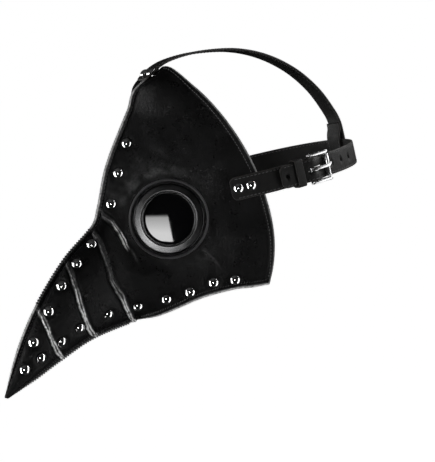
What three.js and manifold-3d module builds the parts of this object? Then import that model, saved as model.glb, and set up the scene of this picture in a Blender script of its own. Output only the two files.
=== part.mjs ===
// Plague doctor mask: two leather side panels sewn along the middle, riveted and tucked, with round
// lenses in metal bezels and a head harness closed by a roller buckle.
// Millimetres. Origin midway between the wearer's pupils, +Z up, -Y forward along the beak,
// +X towards the wearer's left.
import * as THREE from "three";
import { mergeVertices } from "three/addons/utils/BufferGeometryUtils.js";
import Module from "manifold-3d";

const wasm = await Module();
wasm.setup();

// ---- driving dimensions -------------------------------------------------------------------------
const GAP = 0.3;                    // clearance between parts that touch
const SEAM_X = GAP / 2;             // each panel stops this far from the middle plane
const LEATHER = 1.8;                // panel thickness
const SEAM_ALLOWANCE = 3;           // depth of the glued faces along the middle seams
const SPANS_PER_RIB = 3;            // facets between two ribs
const SPANS_ACROSS = 13;            // facets along a rib

const EYE = new THREE.Vector3(31, -24, 0);
const EYE_AXIS = new THREE.Vector3(0.866, -0.483, 0.129).normalize();
const WELT_R = 34;                  // outer radius of the welt round the bezel
const BEZEL_R = 30;
const LENS_R = 21.5;                // clear radius of the lens
const BARREL_R = 25.5;              // threaded barrel that passes through the panel
const EYE_SIDES = 28;

const RIVET_R = 4.4;
const RIVET_CROWN = 2.3;
const RIVET_POST_R = 1.8;
const RIVET_CAP_R = 3.4;
const RIVET_HOLE_R = 2.25;
const RIVET_SIDES = 8;
const HOLE_SIDES = 6;

const STRAP_WIDTH = 20;
const STRAP = 2;                    // strap thickness
const STRAP_Z = 12;                 // height of the middle of the back strap
const HEAD_HALF_WIDTH = 75.6;       // back strap, from the middle plane to the strap's centreline
const BACK_CENTRE_Y = 105;          // centre of the half circle behind the head
const TAB_END = [71.9, 51.5];       // where the strap leaves the temple tab, in X and Y
const TAB_LENGTH = 29;              // straight end of the strap
const STRAP_LIFT = 1;               // riveted strap ends above the panel's outer face
const TAB_CENTRE = 0.58;            // middle of the riveted end, as a share of its length
const TAB_RIVETS = 11;              // between the two rivets of a riveted end
const CROWN_RIVETS = 12;            // between the two rivets of the crown strap
const TAB_AXIS = new THREE.Vector3(0.904, -0.427, 0).normalize();
const CROWN = new THREE.Vector3(0, 6, 120.8);
const CROWN_AXIS = new THREE.Vector3(0, -0.447, 0.894).normalize();

const HEEL = [79.4, 96];            // buckle bar that carries the prong, in X and Y
const BUCKLE_LENGTH = 17;           // heel bar to roller bar
const BAR_R = 1.5;
const ROLLER_R = 2.5;
const FRAME_INSIDE = 21;            // between the side bars
const SIDE_BAR = 2.5;               // thickness of the side bars
const SIDE_BAR_R = 2.4;             // half the side bars' depth, and the radius of their ends
const AXLE_R = 1.2;                 // bar inside the roller
const PRONG_WIDTH = 3;
const PRONG_EYE_R = 3;
const SLOT_HEIGHT = 4.2;            // slots in the straps that the prong passes through
const PUNCH_R = 2;
const KEEPER_Y = 82;
const KEEPER_LENGTH = 8;
const KEEPER_WALL = 1.5;
const KEEPER_FACES = [-4.2, 3.4];   // inner faces in X, from the heel bar

// the panel is pressed flat within the first radius, and not at all beyond the second
const EYE_FLAT = [WELT_R + 4, WELT_R + 22];
const TAB_FLAT = [21, 33];
const CROWN_FLAT = [15, 26];

// ---- materials ----------------------------------------------------------------------------------
const leather = () => new THREE.MeshStandardMaterial({ color: 0x151517, roughness: 0.5 });
const strapLeather = () => new THREE.MeshStandardMaterial({ color: 0x1b1a1b, roughness: 0.6 });
const gunmetal = () => new THREE.MeshStandardMaterial({ color: 0x55575a, roughness: 0.4, metalness: 1 });
const nickel = () => new THREE.MeshStandardMaterial({ color: 0xc9cbce, roughness: 0.15, metalness: 1 });
const darkLens = () => new THREE.MeshStandardMaterial({ color: 0x08080a, roughness: 0.05 });

// ---- shape of a side panel ----------------------------------------------------------------------
// Ribs run from the top seam down to the lower edge: seam point, two handles, lower point.
const RIBS = [
  [[SEAM_X, -195, -107], [2, -195, -108], [2, -193, -109], [SEAM_X, -192, -109]],
  [[SEAM_X, -173, -72], [10.4, -172.6, -79.4], [10, -168, -97], [SEAM_X, -163, -100]],
  [[SEAM_X, -148, -42], [15, -149.6, -52], [16, -148, -83], [SEAM_X, -138, -92]],
  [[SEAM_X, -114, -12], [20, -117.3, -21.8], [24, -122, -71], [SEAM_X, -105, -83]],
  [[SEAM_X, -82, 8], [25.5, -89.3, -8.3], [27, -87, -63], [SEAM_X, -66, -80]],
  [[SEAM_X, -71, 24], [22, -62, -6], [29, -65, -46], [22, -48, -79]],
  [[SEAM_X, -56, 53], [21, -45, 13], [32, -35, -32], [44, -17, -72]],
  [[SEAM_X, -34, 82], [33, -22, 37], [44, -8, -19], [57, 8, -71]],
  [[SEAM_X, -4, 116], [46, 6, 92], [68, 36, -14], [63, 22, -73]],
  [[SEAM_X, 15, 125], [58, 28, 116], [90, 72, -4], [68, 36, -74]],
];
const JUNCTION = 4;                 // the rib where the seam under the beak opens into the hem
const LAST = RIBS.length - 1;

function catmullRom(points, s) {
  const i = Math.min(Math.floor(s), points.length - 2);
  const u = s - i;
  const [p1, p2] = [points[i], points[i + 1]];
  const p0 = i > 0 ? points[i - 1] : p1.map((c, k) => 2 * c - p2[k]);
  const p3 = i < points.length - 2 ? points[i + 2] : p2.map((c, k) => 2 * c - p1[k]);
  return p1.map((_, k) => 0.5 * (2 * p1[k] + (p2[k] - p0[k]) * u
    + (2 * p0[k] - 5 * p1[k] + 4 * p2[k] - p3[k]) * u * u
    + (3 * p1[k] - p0[k] - 3 * p2[k] + p3[k]) * u * u * u));
}

// presses the surface flat round a point: fully within near, not at all beyond far
function pressFlat(point, centre, axis, [near, far]) {
  const away = point.clone().sub(centre);
  const height = away.dot(axis);
  const reach = away.addScaledVector(axis, -height).length();
  const fade = 1 - THREE.MathUtils.smoothstep(reach, near, far);
  point.addScaledVector(axis, -height * fade);
}

const TAB_FORWARD = new THREE.Vector3(TAB_AXIS.y, -TAB_AXIS.x, 0);
const tabMiddle = new THREE.Vector3(TAB_END[0], TAB_END[1], STRAP_Z)
  .addScaledVector(TAB_FORWARD, TAB_LENGTH * TAB_CENTRE)
  .addScaledVector(TAB_AXIS, -STRAP / 2 - STRAP_LIFT);

// outer face of the left panel: s counts ribs from the beak tip, v runs from the seam to the lower edge
function skin(s, v) {
  const w = 1 - v;
  const weights = [w * w * w, 3 * v * w * w, 3 * v * v * w, v * v * v];
  const point = new THREE.Vector3();
  weights.forEach((weight, k) => {
    const guide = catmullRom(RIBS.map((rib) => rib[k]), s);
    point.addScaledVector(new THREE.Vector3(...guide), weight);
  });
  pressFlat(point, EYE, EYE_AXIS, EYE_FLAT);
  pressFlat(point, tabMiddle, TAB_AXIS, TAB_FLAT);
  pressFlat(point, CROWN, CROWN_AXIS, CROWN_FLAT);
  point.x = Math.max(point.x, SEAM_X);
  return point;
}

function skinNormal(s, v) {
  const step = 0.02;
  const [s0, s1] = [Math.max(s - step, 0), Math.min(s + step, LAST)];
  const [v0, v1] = [Math.max(v - step, 0), Math.min(v + step, 1)];
  const along = skin(s1, v).sub(skin(s0, v));
  const across = skin(s, v1).sub(skin(s, v0));
  return across.cross(along).normalize();
}

// ---- mesh helpers -------------------------------------------------------------------------------
function toSolid(geometry) {
  geometry.deleteAttribute("normal");
  geometry.deleteAttribute("uv");
  const merged = mergeVertices(geometry);
  return new wasm.Manifold(new wasm.Mesh({
    numProp: 3,
    vertProperties: new Float32Array(merged.attributes.position.array),
    triVerts: new Uint32Array(merged.index.array),
  }));
}

function fromSolid(solid) {
  const mesh = solid.getMesh();
  const geometry = new THREE.BufferGeometry();
  geometry.setAttribute("position", new THREE.BufferAttribute(mesh.vertProperties, 3));
  geometry.setIndex(new THREE.BufferAttribute(mesh.triVerts, 1));
  return geometry;
}

// the same geometry on the other side of the middle plane, its faces turned back outwards
function mirrored(geometry) {
  const copy = geometry.clone().scale(-1, 1, 1);
  const index = copy.index.array;
  for (let i = 0; i < index.length; i += 3) [index[i], index[i + 1]] = [index[i + 1], index[i]];
  return copy;
}

// a closed solid between two grids of points with the same rows and columns
function shell(outer, inner) {
  const positions = [];
  const place = (p) => positions.push(p.x, p.y, p.z) / 3 - 1;
  const [a, b] = [outer, inner].map((rows) => rows.map((row) => row.map(place)));
  const index = [];
  const strip = (p, q) => {
    for (let i = 1; i < p.length; i += 1) {
      index.push(p[i - 1], q[i], p[i], p[i - 1], q[i - 1], q[i]);
    }
  };
  for (let i = 1; i < a.length; i += 1) {
    strip(a[i], a[i - 1]);
    strip(b[i - 1], b[i]);
  }
  const column = (rows, k) => rows.map((row) => row.at(k));
  strip(column(b, 0), column(a, 0));
  strip(column(a, -1), column(b, -1));
  strip(a[0], b[0]);
  strip(b.at(-1), a.at(-1));
  const geometry = new THREE.BufferGeometry();
  geometry.setAttribute("position", new THREE.Float32BufferAttribute(positions, 3));
  geometry.setIndex(index);
  return geometry;
}

// a turned ring or disc round an axis through a point: profile points are [radius, height]
function turned(profile, sides, centre, axis) {
  const geometry = new THREE.LatheGeometry(profile.map(([r, h]) => new THREE.Vector2(r, h)), sides);
  const turn = new THREE.Quaternion().setFromUnitVectors(new THREE.Vector3(0, 1, 0), axis);
  geometry.applyQuaternion(turn).translate(centre.x, centre.y, centre.z);
  return geometry;
}

const closed = (profile) => [...profile, profile[0]];

// ---- side panels --------------------------------------------------------------------------------
// Rivets down one side, as rib position and distance across: forehead, top of the beak, tip,
// underside of the beak, hem.
const RIVETS = [
  [6.9, 0.065], [6.22, 0.095], [5.42, 0.11],
  [3.8, 0.145], [3.25, 0.19], [2.7, 0.215], [2.2, 0.265],
  [1.45, 0.3], [0.83, 0.445], [1.45, 0.63],
  [2.25, 0.72], [2.83, 0.745], [3.6, 0.78],
  [4.46, 0.845], [5.33, 0.9], [5.86, 0.93], [6.56, 0.93], [7.25, 0.95],
];

function ribLength(s) {
  let length = 0;
  for (let k = 1; k <= SPANS_ACROSS; k += 1) {
    length += skin(s, k / SPANS_ACROSS).distanceTo(skin(s, (k - 1) / SPANS_ACROSS));
  }
  return length;
}

// one row of the inner face: set in from the seams, where its edge lies on the seam face
function liningRow(s) {
  const setIn = Math.min(SEAM_ALLOWANCE / ribLength(s), 0.12);
  const hem = THREE.MathUtils.smoothstep(s, JUNCTION, JUNCTION + 0.5);
  const [from, to] = [setIn, 1 - setIn * (1 - hem)];
  const thickness = LEATHER * Math.min(1, 0.3 + 0.7 * s);
  const row = [];
  for (let k = 0; k <= SPANS_ACROSS; k += 1) {
    const v = from + (to - from) * (k / SPANS_ACROSS);
    const point = skin(s, v).addScaledVector(skinNormal(s, v), -thickness);
    point.x = Math.max(point.x, SEAM_X);
    row.push(point);
  }
  row[0].x = SEAM_X;
  if (s <= JUNCTION) row.at(-1).x = SEAM_X;
  return row;
}

function drill(centre, axis, radius, sides) {
  const depth = 4 * LEATHER;
  const profile = [[0, -depth], [radius, -depth], [radius, depth], [0, depth]];
  return toSolid(turned(profile, sides, centre, axis));
}

function panelGeometry() {
  const outer = [];
  const inner = [];
  for (let i = 0; i <= LAST * SPANS_PER_RIB; i += 1) {
    const s = i / SPANS_PER_RIB;
    outer.push(Array.from({ length: SPANS_ACROSS + 1 }, (_, k) => skin(s, k / SPANS_ACROSS)));
    inner.push(liningRow(s));
  }
  let leatherPanel = toSolid(shell(outer, inner));
  const eyeHole = drill(EYE, EYE_AXIS, BARREL_R + GAP, EYE_SIDES);
  leatherPanel = leatherPanel.subtract(eyeHole);
  const holes = [...rivetSeats(), ...tabRivetSeats(), ...crownRivetSeats()];
  for (const { point, normal } of holes) {
    leatherPanel = leatherPanel.subtract(drill(point, normal, RIVET_HOLE_R, HOLE_SIDES));
  }
  return fromSolid(leatherPanel);
}

// ---- rivets -------------------------------------------------------------------------------------
function rivetSeats() {
  return RIVETS.map(([s, v]) => ({ point: skin(s, v), normal: skinNormal(s, v) }));
}

function tabRivetSeats() {
  return [-TAB_RIVETS / 2, TAB_RIVETS / 2].map((offset) => ({
    point: tabMiddle.clone().addScaledVector(TAB_FORWARD, offset),
    normal: TAB_AXIS,
  }));
}

function crownRivetSeats() {
  const point = CROWN.clone().add(new THREE.Vector3(CROWN_RIVETS / 2, 0, 0));
  return [{ point, normal: CROWN_AXIS }];
}

// head, post and inner cap in one, with grip the thickness of what it holds, outer face at zero
function rivet(point, normal, cover) {
  const top = cover + 1.5 * GAP;
  const bottom = -LEATHER - 2.5 * GAP;
  const profile = [
    [0, top + RIVET_CROWN], [3.2, top + 0.7 * RIVET_CROWN], [RIVET_R, top],
    [RIVET_POST_R, top], [RIVET_POST_R, bottom],
    [RIVET_CAP_R, bottom], [RIVET_CAP_R - 0.4, bottom - 0.9], [0, bottom - 0.9],
  ];
  return turned(profile.reverse(), RIVET_SIDES, point, normal);
}

// ---- eyes ---------------------------------------------------------------------------------------
// Profiles are [radius, height above the panel], anticlockwise.
const WELT = [
  [BEZEL_R + 0.6, GAP], [WELT_R, GAP], [WELT_R, 1.4], [WELT_R - 0.8, 2.1],
  [WELT_R - 1.8, 1.5], [BEZEL_R + 0.6, 1],
];
const BEZEL = [
  [LENS_R, 1.2], [23.5, 1.2], [23.5, -4.5], [BARREL_R, -4.5], [BARREL_R, GAP], [BEZEL_R, GAP],
  [BEZEL_R, 1.8], [BEZEL_R - 1.3, 3.2], [LENS_R + 3, 3.2], [LENS_R, 2],
];
const LENS = [
  [0, -1.1], [23.2, -1.1], [23.2, 0.9], [LENS_R - 0.4, 0.9], [18, 1.7], [13, 2.3], [7, 2.7], [0, 2.9],
];
const BACK_RING = [
  [LENS_R, -1.4], [LENS_R, -6], [BEZEL_R, -6], [BEZEL_R, -LEATHER - GAP],
  [BARREL_R + GAP, -LEATHER - GAP], [BARREL_R + GAP, -4.8], [23.2, -4.8], [23.2, -1.4],
];

const eyePiece = (profile) => turned(profile, EYE_SIDES, EYE, EYE_AXIS);

// ---- straps -------------------------------------------------------------------------------------
// a flat strip on edge: the outline of a centreline of given thickness
function stripOutline(centreline, thickness) {
  const half = thickness / 2;
  const side = (sign) => centreline.map((p, i) => {
    const before = centreline[Math.max(i - 1, 0)];
    const after = centreline[Math.min(i + 1, centreline.length - 1)];
    const [dx, dy] = [after[0] - before[0], after[1] - before[1]];
    const size = Math.hypot(dx, dy) / (half * sign);
    return new THREE.Vector2(p[0] + dy / size, p[1] - dx / size);
  });
  return [...side(1), ...side(-1).reverse()];
}

const smooth = (points, count) => Array.from({ length: count + 1 }, (_, i) =>
  catmullRom(points, (i * (points.length - 1)) / count));

// a shape in the XY plane, raised to the strap's width about its middle height
function upright(outline, width, holes = []) {
  const shape = new THREE.Shape(outline);
  holes.forEach((hole) => shape.holes.push(new THREE.Path(hole)));
  const geometry = new THREE.ExtrudeGeometry(shape, { depth: width, bevelEnabled: false, steps: 1 });
  return geometry.translate(0, 0, STRAP_Z - width / 2);
}

const bar = (x, y, width, height) => {
  const geometry = new THREE.BoxGeometry(width[0], width[1], height);
  return geometry.translate(x, y, STRAP_Z);
};

const TAB_START = [TAB_END[0] + TAB_LENGTH * TAB_FORWARD.x, TAB_END[1] + TAB_LENGTH * TAB_FORWARD.y];
const RETURN_END_Y = 80;            // where the left strap's fold is sewn down and stops
const FOLD = BAR_R + GAP;           // inner radius of the fold round the heel bar

function drilled(geometry, seats, radius) {
  let solid = toSolid(geometry);
  for (const { point, normal } of seats) {
    solid = solid.subtract(drill(point, normal, radius, HOLE_SIDES));
  }
  return fromSolid(solid);
}

const arc = (centre, radius, from, to, count) => Array.from({ length: count + 1 }, (_, i) => {
  const angle = THREE.MathUtils.degToRad(from + ((to - from) * i) / count);
  return [centre[0] + radius * Math.cos(angle), centre[1] + radius * Math.sin(angle)];
});

const vectors = (points) => points.map(([x, y]) => new THREE.Vector2(x, y));

const prongSlot = (fromY, toY, fromX, toX) =>
  toSolid(bar((fromX + toX) / 2, (fromY + toY) / 2, [toX - fromX, toY - fromY], SLOT_HEIGHT));

// short strap on the wearer's left, folded round the buckle's heel bar and sewn back on itself
function backStrapLeft() {
  const [hx, hy] = HEEL;
  const face = hx - FOLD;                       // outer face of the main layer
  const line = [TAB_START, ...smooth([TAB_END, [75.3, 61], [face - 1, 73], [face - 1, RETURN_END_Y]], 9)];
  const outline = stripOutline(line, STRAP);
  const [outside, inside] = [outline.slice(0, line.length), outline.slice(line.length)];
  const loop = vectors(arc(HEEL, FOLD + STRAP, 180, 0, 8));
  const back = vectors([[hx + 3.4, hy - 4], [face + STRAP, hy - 9.5], [face + STRAP, RETURN_END_Y]]);
  const tunnel = vectors([...arc(HEEL, FOLD, 180, 0, 8), [hx + 1.2, hy - 4.5], [face + 0.2, hy - 8]]);
  const whole = [...outside, ...back.reverse(), ...loop.reverse(), ...inside];
  let strap = toSolid(upright(whole, STRAP_WIDTH, [tunnel]));
  strap = strap.subtract(prongSlot(hy - 3.6, hy + 5, face - 3, hx + 5));
  return drilled(fromSolid(strap), tabRivetSeats(), RIVET_HOLE_R);
}

// long strap from the right temple round the head, through the buckle, its tail in the keeper
const TONGUE = [[77, 110], [79, 106], [82.3, 101], [84.8, 96], [83.8, 91], [81.3, 86], [81, 76], [79.8, 64]];
const PUNCH_ANGLES = [12, 22, 32];

function backStrapRight() {
  const [hx, hy] = HEEL;
  const side = [[-TAB_END[0], TAB_END[1]], [-74.8, 62], [-HEAD_HALF_WIDTH, 75], [-HEAD_HALF_WIDTH, 90]];
  const round = arc([0, BACK_CENTRE_Y], HEAD_HALF_WIDTH, 180, 5, 24);
  const line = [[-TAB_START[0], TAB_START[1]], ...smooth(side, 9), ...round, ...smooth(TONGUE, 24)];
  let strap = toSolid(upright(stripOutline(line, STRAP), STRAP_WIDTH));
  strap = strap.subtract(prongSlot(hy - 4, hy + 12.5, hx - 2, hx + 7.5));
  const punches = PUNCH_ANGLES.map((degrees) => {
    const angle = THREE.MathUtils.degToRad(degrees);
    const normal = new THREE.Vector3(Math.cos(angle), Math.sin(angle), 0);
    const point = normal.clone().multiplyScalar(HEAD_HALF_WIDTH);
    return { point: point.add(new THREE.Vector3(0, BACK_CENTRE_Y, STRAP_Z)), normal };
  });
  const tail = { point: new THREE.Vector3(80.3, 70, STRAP_Z), normal: new THREE.Vector3(1, 0, 0) };
  const tabs = tabRivetSeats().map(acrossMiddle);
  return drilled(drilled(fromSolid(strap), tabs, RIVET_HOLE_R), [...punches, tail], PUNCH_R);
}

// strap over the head, its rear end sewn into a loop that the back strap runs through
const CROWN_LINE = [
  [-2.8, 118.4], [14.2, 126.9], [32, 130.2], [58, 130], [92, 124.5], [122, 112.5], [148, 94],
  [167, 72], [178.5, 50], [182.4, 38], [182.95, 28],
];

function crownStrap() {
  const back = BACK_CENTRE_Y + HEAD_HALF_WIDTH;
  const [out, inn] = [back + 1.35, back - 2];    // faces of the loop that the back strap runs between
  const outline = stripOutline(smooth(CROWN_LINE, 30), STRAP);
  const [inside, outside] = [outline.slice(0, 31), outline.slice(31)];
  const below = STRAP_Z - STRAP_WIDTH / 2 - 1;
  const above = STRAP_Z + STRAP_WIDTH / 2 + 1;
  const loop = vectors([
    [out, above + 14], [out - STRAP, above + 13], [out - STRAP, above + 5], [inn - STRAP, above + 1],
    [inn - STRAP, below - 1], [inn - 1, below - STRAP], [out + 1, below - STRAP], [out + STRAP, below - 1],
  ]);
  const hole = vectors([[out, below], [out, above + 3], [inn, above], [inn, below]]);
  const kept = inside.filter((p) => p.y > above + 16);
  const shape = new THREE.Shape([...kept, ...loop, ...outside]);
  shape.holes.push(new THREE.Path(hole));
  const geometry = new THREE.ExtrudeGeometry(shape, { depth: STRAP_WIDTH, bevelEnabled: false });
  geometry.translate(0, 0, -STRAP_WIDTH / 2);
  const [x, y, z] = [[1, 0, 0], [0, 1, 0], [0, 0, 1]].map((axis) => new THREE.Vector3(...axis));
  geometry.applyMatrix4(new THREE.Matrix4().makeBasis(y, z, x));
  const seats = [...crownRivetSeats(), ...crownRivetSeats().map(acrossMiddle)];
  return drilled(geometry, seats, RIVET_HOLE_R);
}

function keeper() {
  const [from, to] = KEEPER_FACES;
  const x = HEEL[0] + (from + to) / 2;
  const height = STRAP_WIDTH + 1.2;
  const outside = [to - from + 2 * KEEPER_WALL, KEEPER_LENGTH];
  const block = toSolid(bar(x, KEEPER_Y, outside, height + 2 * KEEPER_WALL));
  const way = toSolid(bar(x, KEEPER_Y, [to - from, 1.5 * KEEPER_LENGTH], height));
  return fromSolid(block.subtract(way));
}

// ---- buckle -------------------------------------------------------------------------------------
const ROLLER_Y = HEEL[1] + BUCKLE_LENGTH;
const upAxis = new THREE.Vector3(0, 0, 1);
const post = (y, radius, height, sides) => turned(
  [[0, -height / 2], [radius, -height / 2], [radius, height / 2], [0, height / 2]],
  sides, new THREE.Vector3(HEEL[0], y, STRAP_Z), upAxis,
);

function buckleFrame() {
  const [hx, hy] = HEEL;
  const sideOutline = vectors([
    ...arc(HEEL, SIDE_BAR_R, 180, 360, 6), ...arc([hx, ROLLER_Y], SIDE_BAR_R, 0, 180, 6),
  ]);
  const apart = FRAME_INSIDE + SIDE_BAR;
  let frame = toSolid(post(hy, BAR_R, apart, 12));
  frame = frame.add(toSolid(post(ROLLER_Y, AXLE_R, apart, 12)));
  for (const sign of [-1, 1]) {
    const side = upright(sideOutline, SIDE_BAR).translate(0, 0, (sign * apart) / 2);
    frame = frame.add(toSolid(side));
  }
  return fromSolid(frame);
}

function buckleRoller() {
  const half = FRAME_INSIDE / 2 - 1;
  const bore = AXLE_R + GAP;
  const profile = closed([[bore, -half], [ROLLER_R, -half], [ROLLER_R, half], [bore, half]]);
  return turned(profile, 16, new THREE.Vector3(HEEL[0], ROLLER_Y, STRAP_Z), upAxis);
}

function buckleProng() {
  const [hx, hy] = HEEL;
  const over = hx + ROLLER_R + GAP;              // underside of the prong where it rests on the roller
  const eye = arc(HEEL, PRONG_EYE_R, 60, 330, 14);
  const arm = [[over, hy + 9], [over, ROLLER_Y + 2], [over + 1.4, ROLLER_Y + 2.2],
    [over + 2, ROLLER_Y + 1], [over + 2, hy + 8], [hx + 3.2, hy + 1]];
  const outline = vectors([...eye, ...arm.reverse()]);
  return upright(outline, PRONG_WIDTH, [vectors(arc(HEEL, FOLD, 0, 330, 11))]);
}

// ---- assembly -----------------------------------------------------------------------------------
function acrossMiddle({ point, normal }) {
  const flip = new THREE.Vector3(-1, 1, 1);
  return { point: point.clone().multiply(flip), normal: normal.clone().multiply(flip) };
}

const group = new THREE.Group();

function add(name, geometry, material) {
  const mesh = new THREE.Mesh(geometry, material);
  mesh.name = name;
  group.add(mesh);
}

const eyeParts = {
  eye_welt: [WELT, leather],
  eye_bezel: [BEZEL, gunmetal],
  eye_back_ring: [BACK_RING, gunmetal],
};
const panel = panelGeometry();
const sides = {
  left: { shape: (geometry) => geometry, seat: (seat) => seat },
  right: { shape: (geometry) => mirrored(geometry), seat: acrossMiddle },
};

for (const [side, { shape, seat }] of Object.entries(sides)) {
  add(`panel_${side}`, shape(panel), leather());
  for (const [name, [profile, material]] of Object.entries(eyeParts)) {
    add(`${name}_${side}`, shape(eyePiece(closed(profile))), material());
  }
  add(`eye_lens_${side}`, shape(eyePiece(LENS)), darkLens());
  rivetSeats().map(seat).forEach(({ point, normal }, i) => {
    add(`rivet_${side}_${i + 1}`, rivet(point, normal, 0), nickel());
  });
  tabRivetSeats().map(seat).forEach(({ point, normal }, i) => {
    add(`strap_rivet_${side}_${i + 1}`, rivet(point, normal, STRAP + STRAP_LIFT), nickel());
  });
  crownRivetSeats().map(seat).forEach(({ point, normal }) => {
    add(`crown_rivet_${side}`, rivet(point, normal, STRAP + STRAP_LIFT), nickel());
  });
}

add("back_strap_left", backStrapLeft(), strapLeather());
add("back_strap_right", backStrapRight(), strapLeather());
add("crown_strap", crownStrap(), strapLeather());
add("strap_keeper", keeper(), strapLeather());
add("buckle_frame", buckleFrame(), nickel());
add("buckle_roller", buckleRoller(), nickel());
add("buckle_prong", buckleProng(), nickel());

export default group;
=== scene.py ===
# Plague doctor mask: black leather beak mask with round dark lenses and a strap harness.
import math

import bpy
import numpy as np
from mathutils import Matrix, Vector


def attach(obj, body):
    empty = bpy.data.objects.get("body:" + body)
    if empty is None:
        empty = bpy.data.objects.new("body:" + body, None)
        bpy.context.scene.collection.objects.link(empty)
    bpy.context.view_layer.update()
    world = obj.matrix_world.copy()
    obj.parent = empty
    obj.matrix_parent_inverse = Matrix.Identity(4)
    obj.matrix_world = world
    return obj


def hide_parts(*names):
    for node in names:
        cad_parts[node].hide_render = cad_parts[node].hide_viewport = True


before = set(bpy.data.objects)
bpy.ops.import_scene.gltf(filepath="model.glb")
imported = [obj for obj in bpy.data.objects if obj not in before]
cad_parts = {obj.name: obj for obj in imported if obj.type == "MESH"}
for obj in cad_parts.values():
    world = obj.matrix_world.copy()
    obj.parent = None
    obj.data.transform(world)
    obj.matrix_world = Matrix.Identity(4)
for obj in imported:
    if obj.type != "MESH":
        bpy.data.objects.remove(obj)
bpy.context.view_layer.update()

MM = 0.001
SIDES = ("left", "right")
rng = np.random.default_rng(11)

# ---- camera: square on to the left lens, with the head bowed
CAMERA_TARGET = Vector((51.66, 7.89, -19.19))
CAMERA_BACK = Vector((0.866, -0.483, 0.1294)).normalized()
CAMERA_UP = Vector((0, 0.2588, 0.9659))
CAMERA_RIGHT = CAMERA_UP.cross(CAMERA_BACK).normalized()
CAMERA_OVER = CAMERA_BACK.cross(CAMERA_RIGHT)
CAMERA_DISTANCE = 1500
CAMERA_CLIP = (0.05, 200)  # metres
FRAME_HEIGHT = 392.7
SENSOR = 36


def linked(name, data):
    obj = bpy.data.objects.new(name, data)
    bpy.context.scene.collection.objects.link(obj)
    return obj


def make_camera():
    data = bpy.data.cameras.new("camera")
    data.sensor_width = SENSOR
    data.lens = SENSOR * CAMERA_DISTANCE / FRAME_HEIGHT
    data.clip_start, data.clip_end = CAMERA_CLIP
    camera = linked("camera", data)
    turn = Matrix((CAMERA_RIGHT, CAMERA_OVER, CAMERA_BACK)).transposed()
    place = (CAMERA_TARGET + CAMERA_DISTANCE * CAMERA_BACK) * MM
    camera.matrix_world = Matrix.Translation(place) @ turn.to_4x4()
    bpy.context.scene.camera = camera


make_camera()

# ---- dimensions, mm
SEAM_X = 0.15  # half the gap between the panels
LEATHER = 1.6
EYE = np.array([31.0, -24, 0])
EYE_AXIS = np.array([0.866, -0.483, 0.129])
EYE_AXIS /= np.linalg.norm(EYE_AXIS)
WELT_R = 34
BARREL_R = 25.5
STRAP_WIDTH = 20
STRAP = 2
STRAP_Z = 12
HEAD_HALF_WIDTH = 75.6
BACK_CENTRE_Y = 105
TAB_END = np.array([71.9, 51.5])
TAB_LENGTH = 29
STRAP_LIFT = 1
TAB_AXIS = np.array([0.904, -0.427, 0])
TAB_AXIS /= np.linalg.norm(TAB_AXIS)
TAB_ALONG = np.array([TAB_AXIS[1], -TAB_AXIS[0], 0])
CROWN = np.array([0, 6, 120.8])
CROWN_AXIS = np.array([0, -0.447, 0.894])
CROWN_AXIS /= np.linalg.norm(CROWN_AXIS)
HEEL = np.array([79.4, 96])
ROLLER_Y = 113
KEEPER_Y = 82
TAB_SHARE = 0.58  # share of the strap's riveted end up to the middle of its rivets
TAB_MIDDLE = np.array([*TAB_END, STRAP_Z]) + TAB_ALONG * TAB_LENGTH * TAB_SHARE \
    - TAB_AXIS * (STRAP / 2 + STRAP_LIFT)

# Flat seats pressed into the panels: centre, axis, flat up to this radius, untouched beyond this one.
SEATS = [
    (EYE, EYE_AXIS, WELT_R + 4, WELT_R + 22),
    (TAB_MIDDLE, TAB_AXIS, 19, 46),
    (CROWN, CROWN_AXIS, 15, 36),
]

# Ribs run from the top seam down to the lower edge: seam point, two handles, lower point.
RIBS = np.array([
    [[SEAM_X, -195, -107], [2, -195, -108], [2, -193, -109], [SEAM_X, -192, -109]],
    [[SEAM_X, -173, -72], [10.4, -172.6, -79.4], [10, -168, -97], [SEAM_X, -163, -100]],
    [[SEAM_X, -148, -42], [15, -149.6, -52], [16, -148, -83], [SEAM_X, -138, -92]],
    [[SEAM_X, -114, -12], [20, -117.3, -21.8], [24, -122, -71], [SEAM_X, -105, -83]],
    [[SEAM_X, -82, 8], [25.5, -89.3, -8.3], [27, -87, -63], [SEAM_X, -66, -80]],
    [[SEAM_X, -71, 24], [22, -62, -6], [29, -65, -46], [22, -48, -79]],
    [[SEAM_X, -56, 53], [21, -45, 13], [32, -35, -32], [44, -17, -72]],
    [[SEAM_X, -34, 82], [33, -22, 37], [44, -8, -19], [57, 8, -71]],
    [[SEAM_X, -4, 116], [46, 6, 92], [68, 36, -14], [63, 22, -73]],
    [[SEAM_X, 15, 125], [58, 28, 116], [90, 72, -4], [68, 36, -74]],
])
JUNCTION = 4
LAST = len(RIBS) - 1
RIVETS = [
    (6.9, 0.065), (6.22, 0.095), (5.42, 0.11), (3.8, 0.145), (3.25, 0.19), (2.7, 0.215),
    (2.2, 0.265), (1.45, 0.3), (0.83, 0.445), (1.45, 0.63), (2.25, 0.72), (2.83, 0.745),
    (3.6, 0.78), (4.46, 0.845), (5.33, 0.9), (5.86, 0.93), (6.56, 0.93), (7.25, 0.95),
]

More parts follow.
